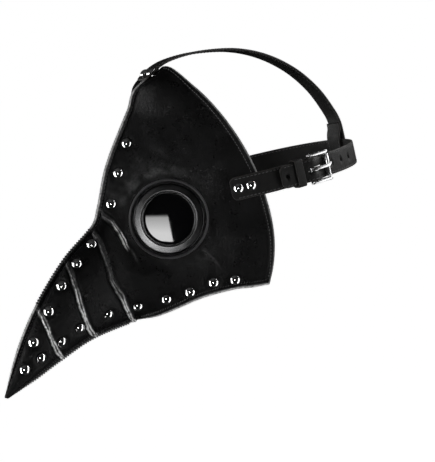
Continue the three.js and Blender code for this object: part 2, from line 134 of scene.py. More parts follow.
# Tucks run from the top seam to the lower edge: places along v, ribs s there, height, fade-out in v,
# the share of their length over which the painted crest highlights come up, and how far the line drifts.
TUCKS = [
    ([0.02, 0.23, 0.37, 0.52, 0.68, 0.98], [3.96, 4.08, 4.05, 3.99, 4.09, 4.07],
     2.3, (1.2, 1.3), (0.45, 0.95), 0.16),
    ([0.02, 0.2, 0.4, 0.6, 0.8, 0.98], [2.98, 3.05, 3.02, 3.01, 3.05, 3.06],
     2.1, (1.2, 1.3), (0.15, 0.7), 0.3),
    ([0.02, 0.25, 0.5, 0.75, 0.98], [1.95, 2.01, 1.99, 2.02, 2.04],
     1.8, (1.2, 1.3), (-0.1, 0.4), 0.3),
    ([0.04, 0.175, 0.288, 0.36, 0.45], [4.9, 5.04, 5.04, 5.03, 5.0],
     1.7, (0.33, 0.43), (0.2, 0.7), 0.3),
]
TUCKS_AT = (2.01, 3.03, 4.04, 5.02)
PUFFS = ((0.6, 2.0), (2.01, 3.03), (3.03, 4.04))  # stretches of s that swell between the tucks

# Soft rolls round the eye, and patches of painted sheen: strength, radius and its width, angle and its
# width.
EYE_ROLLS = [(0.9, 41.5, 3.6, 128, 40), (-0.5, 48, 3.6, 125, 34), (0.3, 53, 3, 118, 22)]
EYE_SHEEN_PATCHES = [(0.09, 41, 5, 115, 45), (0.032, 50, 12, 125, 40), (0.028, 44, 7, -45, 22)]
# Creases below the eye: middle, lean in degrees, half length, height.
EYE_CREASES = [(-29.5, -31, 62, 9, 0.8), (-26, -38, 66, 10, -0.4),
               (-40, -36, 58, 12, -0.5), (38, -34, 52, 16, 0.55)]


# ---- arithmetic
def norm(v):
    return np.linalg.norm(v, axis=-1)


def unit(v):
    v = np.asarray(v, float)
    return v / np.maximum(norm(v)[..., None], 1e-12)


def smoothstep(x, a, b):
    t = np.clip((x - a) / (b - a), 0, 1)
    return t * t * (3 - 2 * t)


def fade_out(x, a, b):
    return 1 - smoothstep(x, a, b)


def bump_at(x, centre, width):
    return np.exp(-((x - centre) / width) ** 2)


def lengths_along(path):
    """Distance along a path from its first point to each of its points."""
    return np.r_[0, np.cumsum(norm(np.diff(path, axis=0)))]


def read_at(at, lengths, rows):
    """Rows that are known at some lengths, read at others."""
    return np.stack([np.interp(at, lengths, column) for column in np.asarray(rows, float).T], -1)


def spline(points, s):
    """Uniform Catmull-Rom curve through rows of points, at any array of places s."""
    points = np.asarray(points, float)
    padded = np.vstack([2 * points[0] - points[1], points, 2 * points[-1] - points[-2]])
    s = np.clip(np.asarray(s, float), 0, len(points) - 1)
    i = np.minimum(s.astype(int), len(points) - 2)
    u = (s - i)[..., None]
    p0, p1, p2, p3 = (padded[i + k] for k in range(4))
    return 0.5 * (2 * p1 + (p2 - p0) * u + (2 * p0 - 5 * p1 + 4 * p2 - p3) * u ** 2
                  + (3 * p1 - p0 - 3 * p2 + p3) * u ** 3)


def press_flat(p, centre, axis, near, far):
    """Brings points near a centre into the plane across an axis there."""
    away = p - centre
    height = away @ axis
    reach = norm(away - height[..., None] * axis)
    fade = height * fade_out(reach, near, far)
    return p - fade[..., None] * axis


def skin(s, v):
    """Outer face of the left panel, at arrays of s along it and v across it."""
    s, v = np.broadcast_arrays(np.asarray(s, float), np.asarray(v, float))
    guides = spline(RIBS.reshape(LAST + 1, 12), s).reshape(*s.shape, 4, 3)
    w = 1 - v
    weights = np.stack([w ** 3, 3 * v * w * w, 3 * v * v * w, v ** 3], -1)[..., None]
    p = (guides * weights).sum(-2)
    for seat in SEATS:
        p = press_flat(p, *seat)
    p[..., 0] = np.maximum(p[..., 0], SEAM_X)
    return p


def skin_step(s, v, step=0.02):
    """From the skin a step behind s to the skin a step ahead of it."""
    return skin(np.minimum(s + step, LAST), v) - skin(np.maximum(s - step, 0), v)


def skin_normal(s, v, step=0.02):
    across = skin(s, np.minimum(v + step, 1)) - skin(s, np.maximum(v - step, 0))
    return unit(np.cross(across, skin_step(s, v, step)))


def ripple(p, wavelength, count, seed):
    """Smooth seeded noise of about unit height, from waves in random directions."""
    draw = np.random.default_rng(seed)
    total = np.zeros(p.shape[:-1])
    for _ in range(count):
        direction = unit(draw.normal(size=3))
        k = 2 * np.pi / (wavelength * draw.uniform(0.7, 1.4))
        total += np.sin(p @ direction * k + draw.uniform(0, 2 * np.pi))
    return total / math.sqrt(count)


# ---- mesh helpers
def mesh_object(name, shape):
    """An object of a shape, which is points in mm and faces."""
    points, faces = shape
    mesh = bpy.data.meshes.new(name)
    mesh.from_pydata((np.asarray(points) * MM).tolist(), [], [list(map(int, f)) for f in faces])
    return linked(name, mesh)


def add_piece(name, shape, material, nodes=(), body="mask", wear_and_sheen=None):
    """A smooth-shaded piece that rides on a body and replaces CAD nodes, with its wear and painted
    sheen, if any, at each point."""
    obj = mesh_object(name, shape)
    mesh = obj.data
    mesh.validate()
    mesh.update()
    if wear_and_sheen is not None:
        attribute = mesh.attributes.new("wear_and_sheen", "FLOAT", "POINT")
        attribute.data.foreach_set("value", np.asarray(wear_and_sheen, np.float32).ravel())
    mesh.shade_smooth()
    mesh.materials.append(material)
    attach(obj, body)
    if nodes:
        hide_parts(*nodes)
    return obj


def joined(parts):
    """One set of points and faces from several."""
    points, faces, start = [], [], 0
    for part_points, part_faces in parts:
        points.append(np.asarray(part_points, float))
        faces += [[i + start for i in f] for f in part_faces]
        start += len(part_points)
    return np.vstack(points), faces


def mirrored(points, faces):
    return np.asarray(points) * [-1, 1, 1], [f[::-1] for f in faces]


def on_side(side, shape):
    """A shape made for the left side, on the side it is wanted."""
    return mirrored(*shape) if side == "right" else shape


def turned(profile, centre, axis, segments):
    """A lathe body: profile is [radius, height] from one end to the other or round a closed ring."""
    profile = np.asarray(profile, float)
    axis = unit(axis)
    side = unit(np.cross(axis, [0, 0, 1.0] if abs(axis[2]) < 0.9 else [1.0, 0, 0]))
    up = np.cross(axis, side)
    angles = np.linspace(0, 2 * np.pi, segments, endpoint=False)
    rounds = np.cos(angles)[:, None] * side + np.sin(angles)[:, None] * up
    points, rings = [], []
    for radius, height in profile:
        if radius < 1e-6:
            rings.append([len(points)])
            points.append(centre + axis * height)
        else:
            rings.append(list(range(len(points), len(points) + segments)))
            points.extend(centre + axis * height + rounds * radius)
    faces = []
    ring_pairs = list(zip(rings, rings[1:]))
    if profile[0, 0] > 1e-6 and profile[-1, 0] > 1e-6:
        ring_pairs.append((rings[-1], rings[0]))
    for a, b in ring_pairs:
        for i in range(segments):
            j = (i + 1) % segments
            quad = [a[i % len(a)], a[j % len(a)], b[j % len(b)], b[i % len(b)]]
            quad = list(dict.fromkeys(quad))
            if len(quad) > 2:
                faces.append(quad)
    return np.array(points), faces


def skinned(rings, closed=False):
    """Faces between rings of points, one ring after another, with flat ends unless they close up."""
    rows, count = rings.shape[:2]
    faces = []
    for i in range(rows if closed else rows - 1):
        a, b = i * count, (i + 1) % rows * count
        faces += [[a + k, a + (k + 1) % count, b + (k + 1) % count, b + k] for k in range(count)]
    if not closed:
        faces += [list(range(count))[::-1], [(rows - 1) * count + k for k in range(count)]]
    return rings.reshape(-1, 3), faces


def swept(path, side, section, closed=False):
    """A section swept along a path, with its x along the side vector and its y along the path's
    other normal."""
    if closed:
        tangent = unit(np.roll(path, -1, 0) - np.roll(path, 1, 0))
    else:
        tangent = unit(np.gradient(path, axis=0))
    sides = unit(np.broadcast_to(np.asarray(side, float), path.shape))
    other = unit(np.cross(tangent, sides))
    sections = np.broadcast_to(section, (len(path), *section.shape[-2:]))
    rings = path[:, None] + sections[..., :1] * sides[:, None] + sections[..., 1:] * other[:, None]
    return skinned(rings, closed)


def arc(centre, radius, from_degrees, to_degrees, count):
    a = np.radians(np.linspace(from_degrees, to_degrees, count + 1))
    return np.stack([centre[0] + radius * np.cos(a), centre[1] + radius * np.sin(a)], -1)


def rounded_box(width, height, radius):
    """Section of a rectangle with round corners."""
    x, y = width / 2 - radius, height / 2 - radius
    return np.vstack([arc([cx * x, cy * y], radius, start, start + 90, 4)
                      for cx, cy, start in ((1, 1, 0), (-1, 1, 90), (-1, -1, 180), (1, -1, 270))])


def resample(path, step):
    """Points at even steps along a polyline."""
    lengths = lengths_along(path)
    count = max(int(lengths[-1] / step), 2)
    return read_at(np.linspace(0, lengths[-1], count + 1), lengths, path)


def thread(points, radius, sides=6):
    """A short round thread with pinched ends along a few points."""
    points = np.asarray(points, float)
    tangent = unit(points[-1] - points[0])
    across = np.cross(tangent, [0.31, 0.52, 0.79])
    swell = np.sin(np.linspace(0.16, 0.84, len(points)) * np.pi)
    angles = np.linspace(0, 2 * np.pi, sides, endpoint=False)
    section = np.stack([np.cos(angles), np.sin(angles)], -1) * (radius * swell)[:, None, None]
    return swept(points, unit(across), section)


# ---- materials
class Nodes:
    """The node tree of a material, light or world, with one short call for each node."""

    def __init__(self, owner):
        owner.use_nodes = True
        self.owner = owner
        self.tree = owner.node_tree

    def add(self, kind, inputs=None, **settings):
        node = self.tree.nodes.new(kind)
        for key, value in settings.items():
            setattr(node, key, value)
        for key, value in (inputs or {}).items():
            self.feed(value, node.inputs[key])
        return node

    def feed(self, value, socket):
        if isinstance(value, bpy.types.NodeSocket):
            self.tree.links.new(value, socket)
        elif socket.type == "RGBA" and not hasattr(value, "__len__"):
            socket.default_value = (value, value, value, 1)
        elif socket.type == "RGBA":
            socket.default_value = (*value, 1)
        else:
            socket.default_value = value

    def noise(self, scale, detail=2.0, roughness=0.5, distortion=0.0, stretch=None):
        place = self.place
        if stretch is not None:
            place = self.add("ShaderNodeMapping", {"Vector": place, "Scale": stretch}).outputs[0]
        node = self.add("ShaderNodeTexNoise", {
            "Vector": place, "Scale": scale, "Detail": detail, "Roughness": roughness,
            "Distortion": distortion})
        return node.outputs["Fac"]

    def cells(self, scale):
        """Distance to the nearest edge between irregular cells."""
        inputs = {"Vector": self.place, "Scale": scale, "Randomness": 0.9}
        node = self.add("ShaderNodeTexVoronoi", inputs, feature="DISTANCE_TO_EDGE")
        return node.outputs["Distance"]

    def wave(self, scale, distortion, direction):
        inputs = {"Vector": self.place, "Scale": scale, "Distortion": distortion}
        return self.add("ShaderNodeTexWave", inputs, bands_direction=direction).outputs["Fac"]

    def ramp(self, value, from_low, from_high, to_low, to_high):
        inputs = {0: value, 1: from_low, 2: from_high, 3: to_low, 4: to_high}
        return self.add("ShaderNodeMapRange", inputs, clamp=True).outputs[0]

    def maths(self, operation, a, b):
        return self.add("ShaderNodeMath", {0: a, 1: b}, operation=operation).outputs[0]

    def mix(self, factor, a, b):
        return self.add("ShaderNodeMix", {0: factor, 6: a, 7: b}, data_type="RGBA").outputs[2]

    def attribute(self, name):
        return self.add("ShaderNodeAttribute", attribute_name=name).outputs["Fac"]

    def bump(self, height, distance, strength=1.0, under=None):
        inputs = {"Height": height, "Distance": distance, "Strength": strength}
        if under is not None:
            inputs["Normal"] = under
        return self.add("ShaderNodeBump", inputs).outputs[0]

    def finish(self, **sockets):
        for key, value in sockets.items():
            self.feed(value, self.tree.nodes["Principled BSDF"].inputs[key.replace("_", " ")])
        return self.owner


def material_nodes(name):
    n = Nodes(bpy.data.materials.new(name))
    n.place = n.add("ShaderNodeTexCoord").outputs["Object"]
    return n


def leather(name, dark, light, worn_and_lit, rough, grain=0.00012, crease=0.00035, cell=900):
    """Finished black leather: pebble grain, faint creases, patchy sheen, and a lighter tone where it is
    rubbed, which on the side panels is also their painted highlights.
    """
    n = material_nodes(name)
    patches = n.noise(38, 4, 0.6)
    colour = n.mix(n.ramp(patches, 0.3, 0.7, 0, 1), dark, light)
    fine = n.noise(420, 3, 0.65)
    # the mark read here lightens the leather: rubbed wear on the straps and edges, painted highlights on
    # the side panels' crests, creases, edges and round the eye
    rubbed_and_lit = n.maths("MULTIPLY", n.attribute("wear_and_sheen"), n.ramp(fine, 0.32, 0.62, 0.35, 1.0))
    colour = n.mix(rubbed_and_lit, colour, worn_and_lit)
    base = n.ramp(n.noise(55, 5, 0.6, 0.4), 0.3, 0.7, rough[0], rough[1])
    roughness = n.maths("ADD", base, n.ramp(fine, 0.3, 0.7, -0.04, 0.05))
    creases = n.bump(n.noise(150, 6, 0.62, 1.4), crease, 0.5)
    normal = n.bump(n.ramp(n.cells(cell), 0, 0.22, 0, 1), grain, 0.55, creases)
    return n.finish(Base_Color=colour, Roughness=roughness, Specular_IOR_Level=0.14, Normal=normal)


def metal(name, dark, light, rough, brushed):
    """Cast and polished metal: cloudy tone and fine scratches."""
    n = material_nodes(name)
    clouds = n.noise(90, 5, 0.6)
    scratches = n.noise(600, 2, 0.6, 0.0, brushed)
    colour = n.mix(n.ramp(clouds, 0.3, 0.7, 0, 1), dark, light)
    roughness = n.maths("ADD", n.ramp(clouds, 0.3, 0.7, rough[0], rough[1]),
                        n.ramp(scratches, 0.35, 0.7, -0.03, 0.06))
    return n.finish(Base_Color=colour, Roughness=roughness, Metallic=1.0,
                    Normal=n.bump(scratches, 0.00002, 0.35))


def lens_material():
    """Near-black polished lens, a little smeared and not quite even."""
    n = material_nodes("dark_lens")
    smear = n.noise(70, 5, 0.6, 0.6)
    colour = n.mix(smear, (0.0015, 0.0015, 0.002), (0.003, 0.003, 0.0035))
    return n.finish(Base_Color=colour, Roughness=n.ramp(smear, 0.35, 0.75, 0.015, 0.06), IOR=1.4,
                    Normal=n.bump(n.noise(22, 1), 0.00004, 0.2))


def lining_material():
    """Plain woven backing cloth inside the panels."""
    n = material_nodes("lining_cloth")
    weave = n.maths("MULTIPLY", n.wave(420, 0.6, "Z"), n.wave(420, 0.6, "Y"))
    colour = n.mix(n.ramp(n.noise(60, 4), 0.3, 0.7, 0, 1), (0.012, 0.012, 0.0125), (0.024, 0.0235, 0.023))
    colour = n.mix(n.ramp(weave, 0, 1, 0, 0.6), colour, (0.045, 0.044, 0.043))
    return n.finish(Base_Color=colour, Roughness=n.ramp(weave, 0, 1, 0.95, 0.8), Specular_IOR_Level=0.2,
                    Normal=n.bump(weave, 0.00025, 0.7))


def thread_material(name, dark, light):
    """Twisted thread."""
    n = material_nodes(name)
    twist = n.wave(900, 1.5, "DIAGONAL")
    return n.finish(Base_Color=n.mix(twist, dark, light), Roughness=n.ramp(twist, 0, 1, 0.45, 0.7),
                    Specular_IOR_Level=0.15, Normal=n.bump(twist, 0.00008, 0.6))


# Each has a dark and a light tone, the leathers a rubbed tone too (on the side panels the near-white
# tone of their painted highlights), and then a range of roughness.
PANEL = leather("panel_leather", (0.0023, 0.0023, 0.0024), (0.0048, 0.0048, 0.005),
                (0.85, 0.85, 0.85), (0.26, 0.35), grain=0.0002, crease=0.0003)
WELT = leather("welt_leather", (0.045, 0.045, 0.046), (0.075, 0.075, 0.077), (0.3, 0.3, 0.3),
               (0.34, 0.42))
STRAP_LEATHER = leather("strap_leather", (0.009, 0.0088, 0.0087), (0.016, 0.0155, 0.0152),
                        (0.06, 0.057, 0.054), (0.4, 0.55), cell=1300)
BEZEL_METAL = metal("bezel_metal", (0.04, 0.04, 0.0405), (0.058, 0.058, 0.059), (0.15, 0.2), (1, 1, 6))
RIVET_METAL = metal("rivet_metal", (0.78, 0.78, 0.785), (0.9, 0.9, 0.9), (0.07, 0.13), (1, 3, 1))
BUCKLE_METAL = metal("buckle_metal", (0.5, 0.5, 0.51), (0.68, 0.68, 0.68), (0.2, 0.3), (1, 1, 8))
LENS = lens_material()
LINING = lining_material()
THREAD = thread_material("waxed_thread", (0.05, 0.05, 0.051), (0.17, 0.17, 0.171))
DARK_THREAD = thread_material("black_thread", (0.002, 0.002, 0.002), (0.008, 0.008, 0.0082))


# ---- side panels
FIN = 3.4  # height of the sewn fin along the seams
FIN_PROUD = 0.9  # how far it stands above the seam
FIN_HALF = 1.55  # one leather's thickness in the fin
HEM = 4.6  # width of the turned hem
HEM_ROUND = 1.2  # how far in from its edge the hem is rounded
RIVET_SEAT = 4.8  # radius of the flat under a rivet's head
RIVET_SINK = 0.55  # how deep it is pressed into the leather
ROW_STEP = 0.048  # between the rows of the panel's grid, in s
TUCK_STEP = 0.0155  # between the rows within TUCK_REACH of a tuck
TUCK_REACH = 0.27
SEAM_STEPS = np.array([0, 0.25, 0.55, 0.95, 1.5, 2.1, 2.7, 3.2, 3.8, 4.6, 5.6, 6.8, 8.2, 10])
SEAM_SHARE = 0.3  # most of a row's length that these steps in from an edge take up
MIDDLE_STEPS = 62
FINE_V = np.linspace(0, 1, 161)
EYE_UP = np.array([0.0, 0.2588, 0.9659])
EYE_SIDE = unit(np.cross(EYE_UP, EYE_AXIS))


def panel_rows():
    """Places along s: closer together over the tucks."""
    rows, s = [0.0], 0.0
    while s < LAST:
        s += ROW_STEP if min(abs(s - tuck) for tuck in TUCKS_AT) > TUCK_REACH else TUCK_STEP
        rows.append(min(s, LAST))
    return np.array(rows)


def panel_grid():
    """Grid of s, v, distances in mm from the top seam and from the lower edge, and for each row
    how much of their full size the seams have there."""
    s = panel_rows()
    reach = np.array([lengths_along(row) for row in skin(s[:, None], FINE_V[None])])
    whole = reach[:, -1:]
    fit = np.minimum(1, SEAM_SHARE * whole / SEAM_STEPS[-1])
    v, from_top = [], []
    for row, scale in zip(reach, fit):
        near = SEAM_STEPS * scale
        middle = np.linspace(near[-1], row[-1] - near[-1], MIDDLE_STEPS + 2)[1:-1]
        at = np.r_[near, middle, row[-1] - near[::-1]]
        from_top.append(at)
        v.append(np.interp(at, row, FINE_V))
    from_top = np.array(from_top)
    s = np.broadcast_to(s[:, None], from_top.shape)
    return s, np.array(v), from_top, whole - from_top, fit


def wander(v, waves, seed):
    """Irregular drift along a line, of about unit size."""
    draw = np.random.default_rng(seed)
    total = np.zeros(np.shape(v))
    for k in waves:
        strength = draw.uniform(0.6, 1.2) * (waves[0] / k) ** 0.6
        total += np.sin(v * k * draw.uniform(0.85, 1.2) + draw.uniform(0, 6.28)) * strength
    return total


def tuck_relief(s, v, pace):
    """Height of the sewn-down tucks, and the painted highlights along their crests. pace is mm for one
    unit of s.
    """
    height = np.zeros(s.shape)
    sheen_and_wear = np.zeros(s.shape)
    for n, (at_v, at_s, tall, ending, rubbed_and_lit, drift) in enumerate(TUCKS):
        line = np.interp(v, at_v, at_s)
        d = (s - line) * pace + drift * wander(v, (11, 26, 47, 83, 131), 20 + n)
        fade = fade_out(v, *ending)
        along = np.clip((v - at_v[0]) / (at_v[-1] - at_v[0]), 0, 1)
        low = smoothstep(along, 0.25, 0.8)
        swell = tall * fade * (0.8 + 0.2 * low) * (1 + 0.1 * wander(v, (13, 29, 44), 30 + n))
        fold = np.exp(-(d / np.where(d > 0, 2.5, 2.0)) ** 6)
        first = bump_at(d, -1.0 + 0.3 * wander(v, (17, 43, 77, 121), 40 + n), 0.5)
        second = bump_at(d, 1.2 + 0.4 * wander(v, (14, 37, 71, 113), 50 + n), 0.55)
        groove = 0.4 * bump_at(d, -3.0, 1.0) + 0.22 * bump_at(d, 3.9, 1.2)
        tail = 0.12 * bump_at(d, 4, 5)
        height += swell * (0.62 * fold + 0.34 * first + (0.12 + 0.2 * low) * second + tail - groove)
        # painted highlights: lit lines along the two crests, brighter towards the lower end, and a faint
        # painted sheen over the whole fold
        lit = np.maximum(first, second * (0.25 + 0.6 * low))
        bright = smoothstep(along, *rubbed_and_lit)
        broken = 1 + 0.4 * wander(v, (31, 67, 109), 60 + n)
        worn_and_lit = np.clip(fade * lit ** 0.8 * (0.16 + 2.1 * bright) * broken, 0, 2)
        sheen_and_wear = np.maximum.reduce([sheen_and_wear, 0.04 * fade * fold, worn_and_lit])
    return height, sheen_and_wear


def round_eye(rows, from_eye, angle):
    """Sum of soft bands round the eye, from rows such as EYE_ROLLS."""
    return sum(k * bump_at(from_eye, r, width) * bump_at(angle, a, spread)
               for k, r, width, a, spread in rows)


def eye_relief(base, from_eye):
    """Height of the rolls and creases round the eye, painted highlights along the raised creases, and
    the patches of painted sheen.
    """
    away = base - EYE
    x, y = away @ EYE_SIDE, away @ EYE_UP
    angle = np.degrees(np.arctan2(y, x))
    height = round_eye(EYE_ROLLS, from_eye, angle)
    creased = np.zeros(height.shape)
    for cx, cy, lean, length, tall in EYE_CREASES:
        a = math.radians(lean)
        along = (x - cx) * math.cos(a) - (y - cy) * math.sin(a)
        over = (x - cx) * math.sin(a) + (y - cy) * math.cos(a)
        height += tall * bump_at(over, 0, 1.7) * bump_at(along, 0, length)
        # painted highlight along each raised crease
        creased += 0.11 * max(tall, 0) * bump_at(over, 0, 1.0) * bump_at(along, 0, 0.6 * length)
    # streaky painted sheen round the eye
    streaks = 0.6 + 0.4 * ripple(base, 9, 9, 5)
    return height, creased, np.clip(round_eye(EYE_SHEEN_PATCHES, from_eye, angle) * streaks, 0, 1)


def turned_band(reach, proud, groove, width):
    """Height of an edge that is folded under: a proud band with a groove along its stitches."""
    return proud * fade_out(reach, HEM - 0.5, HEM + 0.3) - groove * bump_at(reach, HEM + 0.9, width)


def edge_relief(s, pace, from_top, from_hem, fit):
    """Height of the turned hem and rear edge, and where all the panel's edges are painted lighter:
    partly rubbed wear, partly painted highlight.
    """
    from_rear = (LAST - s) * pace
    hem = smoothstep(s, JUNCTION + 0.1, JUNCTION + 0.6)
    inset = np.minimum(from_hem, HEM_ROUND) / HEM_ROUND
    rounding = 1.1 * (1 - np.sqrt(1 - (1 - inset) ** 2))
    height = hem * (turned_band(from_hem, 0.7, 0.4, 0.7) - rounding) \
        + turned_band(from_rear, 0.45, 0.3, 0.8) * smoothstep(from_top, 14, 22)
    beak = 1 - 0.75 * smoothstep(s, 1.9, 2.2) * fade_out(s, 3.8, 4.2)
    brow = smoothstep(s, JUNCTION + 0.2, JUNCTION + 0.9) * fade_out(s, 7.6, 8.4)
    under = fade_out(s, JUNCTION - 0.1, JUNCTION + 0.3)
    # lighter edges: rubbed wear, and painted highlight on the hem band and along the fins
    rubbed_and_lit = [0.9 * hem * fade_out(from_hem, 1.0, 2.5),
              0.5 * fade_out(from_rear, 0.5, 1.5),
              0.7 * beak * fade_out(from_top, 0.5 * fit, 1.1 * fit),
              0.11 * brow * fade_out(from_top, FIN - 1.6, FIN - 0.6),
              0.8 * under * fade_out(from_hem, 0.5 * fit, 1.1 * fit)]
    return height, np.maximum.reduce(rubbed_and_lit)


def panel_relief(s, v, base, pace, from_top, from_hem, fit):
    """Displacement of the panel's outer face in mm, and where it is painted lighter: rubbed wear, and
    painted highlights.
    """
    from_eye = norm(base - EYE)
    tucks, sheen_and_wear = tuck_relief(s, v, pace)
    height = tucks * (0.35 + 0.65 * smoothstep(from_top, 4, 13))
    for a, b in PUFFS:
        u = np.clip((s - a) / (b - a), 0, 1)
        height += 0.7 * np.sin(np.pi * u) * smoothstep(v, 0.12, 0.4) * smoothstep(1 - v, 0.05, 0.3)
    height += 0.22 * ripple(base, 34, 9, 3) + 0.1 * ripple(base, 13, 11, 4)
    rolls, creased, patches = eye_relief(base, from_eye)
    # nothing moves under the welt, the strap ends or close to the crown strap
    held = smoothstep(from_eye, WELT_R + 1.5, WELT_R + 6)
    for centre, near, far in ((TAB_MIDDLE, 18, 26), (CROWN, 14, 22)):
        held = held * smoothstep(norm(base - centre), near, far)
    height = (height + rolls) * held
    sheen_and_wear = np.maximum(sheen_and_wear + creased, patches) * held
    # a groove hides under the welt, and rivets sit in shallow dimples
    height -= 0.9 * bump_at(from_eye, 31, 1.1)
    for seat in RIVETS:
        r = norm(base - skin(*seat))
        height = height * smoothstep(r, 4, 8.5) - RIVET_SINK * bump_at(r, RIVET_SEAT, 1.1)
        height = np.where(r < RIVET_SEAT, -RIVET_SINK, height)
    edges, rubbed_and_lit = edge_relief(s, pace, from_top, from_hem, fit)
    return height + edges, np.maximum(sheen_and_wear, rubbed_and_lit)


def seam_line(s, v):
    """Seam points and the unit vectors in the middle plane that point into the mask."""
    along = unit(skin_step(s, v, 0.03) * [0, 1, 1])
    sign = 1 if v < 0.5 else -1
    inward = np.stack([np.zeros_like(s), along[:, 2], -along[:, 1]], -1) * sign
    return skin(s, v), inward


def fin(points, s, reach, fit, v, strength):
    """Pinches the panel into a flat fin along a seam."""
    seam, inward = seam_line(s[:, 0], v)
    depth = np.minimum(reach * (1 + FIN_PROUD / FIN) - FIN_PROUD * fit, FIN * fit)
    round_over = np.clip(reach / (0.9 * fit), 0, 1)
    x = SEAM_X + (FIN_HALF * np.sqrt(1 - (1 - round_over) ** 2)) * fit
    target = seam[:, None] + inward[:, None] * depth[..., None]
    target[..., 0] = x
    w = (fade_out(reach, (FIN - 0.5) * fit, 8 * fit) * strength)[..., None]
    return points * (1 - w) + target * w


def grid_normals(p):
    along = np.gradient(p, axis=0)
    across = np.gradient(p, axis=1)
    return unit(np.cross(across, along))


def panel_shell(gone):
    """Faces of the panel's outer side, its lining and the walls between them, with the numbers of the
    lining's first face and of the one after its last. The lining's points follow the outer ones."""
    rows, columns = gone.shape
    index = np.arange(gone.size).reshape(rows, columns)
    faces, edges = [], {}
    for i in range(rows - 1):
        for k in range(columns - 1):
            if gone[i:i + 2, k:k + 2].any():
                continue
            quad = [index[i, k], index[i, k + 1], index[i + 1, k + 1], index[i + 1, k]]
            faces.append(quad)
            for a, b in zip(quad, quad[1:] + quad[:1]):
                if (b, a) in edges:
                    del edges[(b, a)]
                else:
                    edges[(a, b)] = True
    lining = [[q + gone.size for q in quad[::-1]] for quad in faces]
    walls = [[b, a, a + gone.size, b + gone.size] for a, b in edges]
    return np.array(faces + lining + walls), (len(faces), 2 * len(faces))


def build_panel():
    """The left panel's shape, its wear and painted highlights, which faces are the lining, and its outer
    grid.
    """
    s, v, from_top, from_hem, fit = panel_grid()
    base = skin(s, v)
    pace = norm(skin_step(s, v)) / (np.minimum(s + 0.02, LAST) - np.maximum(s - 0.02, 0))
    height, sheen_and_wear = panel_relief(s, v, base, pace, from_top, from_hem, fit)
    outer = base + skin_normal(s, v) * (height * smoothstep(s, 0.15, 0.6))[..., None]
    under = fade_out(s, JUNCTION - 0.15, JUNCTION + 0.35)
    outer = fin(outer, s, from_top, fit, 0.0, 1.0)
    outer = fin(outer, s, from_hem, fit, 1.0, under)
    outer[..., 0] = np.maximum(outer[..., 0], SEAM_X)
    normal = grid_normals(outer)
    inner = outer - normal * (LEATHER * np.minimum(1, 0.3 + 0.7 * s))[..., None]
    # in the fins the two panels lie face to face
    in_fin = np.maximum(fade_out(from_top, FIN * fit, (FIN + 1.2) * fit),
                        under * fade_out(from_hem, FIN * fit, (FIN + 1.2) * fit))[..., None]
    inner = inner * (1 - in_fin) + (outer * [0, 1, 1] + [SEAM_X, 0, 0]) * in_fin
    inner[..., 0] = np.maximum(inner[..., 0], SEAM_X)
    gone = norm(base - EYE) < BARREL_R + 0.4
    faces, lined = panel_shell(gone)
    # points that no face uses are left out
    used = np.unique(faces)
    renumber = np.zeros(2 * gone.size, int)
    renumber[used] = np.arange(len(used))
    points = np.vstack([outer.reshape(-1, 3), inner.reshape(-1, 3)])[used]
    wear_and_sheen = np.r_[sheen_and_wear.ravel(), np.zeros(gone.size)][used]
    grid = {"s": s[:, 0], "fit": fit[:, 0], "outer": outer, "normal": normal,
            "from_hem": from_hem, "from_top": from_top, "from_rear": (LAST - s) * pace}
    return (points, renumber[faces]), wear_and_sheen, lined, grid


left_panel, panel_wear_and_sheen, lined_faces, panel = build_panel()
for side in SIDES:
    piece = add_piece(f"side_panel_{side}", on_side(side, left_panel), PANEL,
                      [f"panel_{side}"], wear_and_sheen=panel_wear_and_sheen)
    piece.data.materials.append(LINING)
    for face in piece.data.polygons[slice(*lined_faces)]:
        face.material_index = 1


# ---- stitching
STITCH_R = 0.3
STITCH_LIFT = 0.1  # how far a running stitch's middle stands off the leather
# One whip stitch: across the fin, down from its top, and along the seam as a share of the lean.
WHIP_LOOP = [(1.9, 3.3, -1), (2.0, 1.8, -0.6), (1.85, 0.6, -0.3), (1.0, 0.05, -0.1),
             (-1.0, 0.05, 0.1), (-1.85, 0.6, 0.3), (-2.0, 1.8, 0.6), (-1.9, 3.3, 1)]


def whip_stitches(v, from_s, to_s, spacing, radius):
    """Threads wound over the fin where the two panels are sewn together."""
    s = np.linspace(from_s, to_s, 400)
    seam, inward = seam_line(s, v)
    fit = np.interp(s, panel["s"], panel["fit"])
    lengths = lengths_along(seam)
    at = np.arange(0.5 * spacing, lengths[-1], spacing)
    line = read_at(at, lengths, np.c_[seam, inward, fit])
    tangents = unit(np.gradient(line[:, :3], axis=0))
    parts = []
    for p, into, tangent, scale in zip(line[:, :3], unit(line[:, 3:6]), tangents, line[:, 6]):
        lean = rng.uniform(0.35, 0.55) * spacing
        loop = [p * [0, 1, 1] + [x * scale, 0, 0] + into * (down - FIN_PROUD) * scale
                + tangent * along * lean for x, down, along in WHIP_LOOP]
        parts.append(thread(loop, radius * max(scale, 0.6)))
    return parts


def running_stitches(points, normals, spacing, length, lean=0.0):
    """Short threads in a row along a polyline, lying on a surface of given normals."""
    lengths = lengths_along(points)
    at = np.arange(0.6 * spacing, lengths[-1] - 0.4 * spacing, spacing)
    rows = [read_at(at, lengths, points), unit(read_at(at, lengths, normals)),
            read_at(at + 0.5, lengths, points)]
    parts = []
    for p, n, q in zip(*rows):
        along = unit(q - p)
        a = lean + rng.uniform(-0.05, 0.05)
        way = along * math.cos(a) + np.cross(n, along) * math.sin(a)
        half = 0.5 * length * rng.uniform(0.94, 1.06)
        loop = [p + way * half * u + n * (STITCH_LIFT - 0.55 * STITCH_R * u * u)
                for u in (-1, -0.5, 0.5, 1)]
        parts.append(thread(loop, STITCH_R, 5))
    return parts


def both_sides(parts):
    return parts + [mirrored(*part) for part in parts]


def rows_between(low, high):
    return np.nonzero((panel["s"] > low) & (panel["s"] < high))[0]


